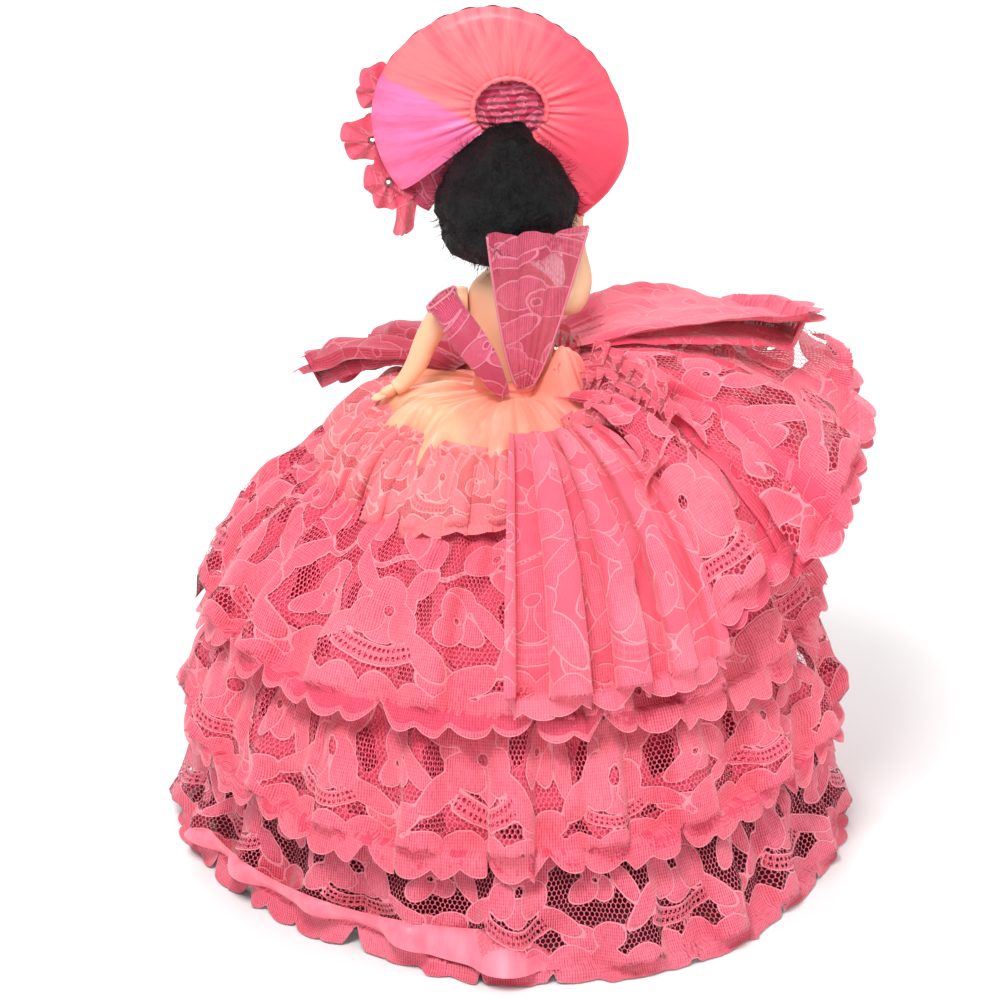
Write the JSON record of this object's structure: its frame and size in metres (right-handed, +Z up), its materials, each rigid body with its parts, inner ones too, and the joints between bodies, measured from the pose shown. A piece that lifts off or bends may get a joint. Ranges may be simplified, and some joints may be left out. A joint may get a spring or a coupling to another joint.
{
  "type": "topsy turvy doll",
  "caption": "Two-headed reversible dress-up doll standing under a wide ruffled lace skirt, with a gathered satin hat, jointed arms and turning heads.",
  "frame": {"origin": "middle of the lower doll's flat cap crown, on which the doll stands", "axes": "+Z up along the two bodies, the upper doll faces -Y, her left hand at +X"},
  "size_m": [0.2249, 0.2284, 0.2774],
  "materials": {
    "skin_plastic": "smooth moulded doll skin",
    "black_mohair": "fluffed mohair",
    "coral_lace": "floral net lace with corded outlines",
    "pink_satin": "gathered satin",
    "peach_satin": "soft satin",
    "maroon_cotton": "plain woven cotton",
    "dowel_wood": "plain dowel",
    "steel_wire": "plain wire"
  },
  "bodies": {
    "body": {"upper_torso_back": "skin_plastic", "upper_torso_front": "skin_plastic", "upper_neck_button": "skin_plastic", "upper_sash": "peach_satin", "upper_bodice": "coral_lace", "lower_torso_back": "skin_plastic", "lower_torso_front": "skin_plastic", "lower_neck_button": "skin_plastic", "lower_sash": "maroon_cotton", "lower_bodice": "maroon_cotton", "hip_dowel": "dowel_wood", "hip_tape": "maroon_cotton", "left_strap": "coral_lace", "collar_panel": "coral_lace", "foundation_skirt": "pink_satin", "inner_skirt": "maroon_cotton", "hem_binding": "peach_satin", "satin_overskirt": "peach_satin", "overskirt_lace_edging": "coral_lace", "lace_tier_upper": "coral_lace", "lace_tier_middle": "coral_lace", "lace_tier_lower": "coral_lace", "back_pleats": "coral_lace", "hip_heading": "coral_lace", "hip_flounce_upper": "coral_lace", "hip_flounce_middle": "coral_lace", "hip_flounce_lower": "coral_lace", "front_flounce": "coral_lace"},
    "upper_head": {"upper_head": "skin_plastic", "upper_wig": "black_mohair", "hat_brim_back": "pink_satin", "hat_brim_front": "coral_lace", "hat_rim_wire": "steel_wire", "hat_hole_roll": "pink_satin", "hat_ruche": "coral_lace", "hat_rosette_upper": "coral_lace", "hat_rosette_middle": "coral_lace", "hat_rosette_lower": "coral_lace", "hat_ribbon_end": "coral_lace"},
    "upper_left_arm": {"upper_left_arm": "skin_plastic"},
    "upper_right_arm": {"upper_right_arm": "skin_plastic"},
    "lower_head": {"lower_head": "skin_plastic", "lower_wig": "black_mohair", "lower_cap": "maroon_cotton"},
    "lower_left_arm": {"lower_left_arm": "skin_plastic"},
    "lower_right_arm": {"lower_right_arm": "skin_plastic"}
  },
  "joints": [
    {"name": "upper_head_turn", "type": "hinge", "parent": "body", "child": "upper_head", "pos_m": [0, 0, 0.2165], "axis": [0, 0, 1], "range_deg": [-30, 6]},
    {"name": "upper_left_arm_swing", "type": "hinge", "parent": "body", "child": "upper_left_arm", "pos_m": [0, 0, 0.182], "axis": [-1, 0, 0], "range_deg": [0, 110]},
    {"name": "upper_right_arm_swing", "type": "hinge", "parent": "body", "child": "upper_right_arm", "pos_m": [0, 0, 0.182], "axis": [1, 0, 0], "range_deg": [0, 65]},
    {"name": "lower_head_turn", "type": "hinge", "parent": "body", "child": "lower_head", "pos_m": [0, 0, 0.0435], "axis": [0, 0, 1], "range_deg": [-40, 40]},
    {"name": "lower_left_arm_swing", "type": "hinge", "parent": "body", "child": "lower_left_arm", "pos_m": [0, 0, 0.078], "axis": [-1, 0, 0], "range_deg": [-45, 90]},
    {"name": "lower_right_arm_swing", "type": "hinge", "parent": "body", "child": "lower_right_arm", "pos_m": [0, 0, 0.078], "axis": [-1, 0, 0], "range_deg": [-45, 90]}
  ]
}
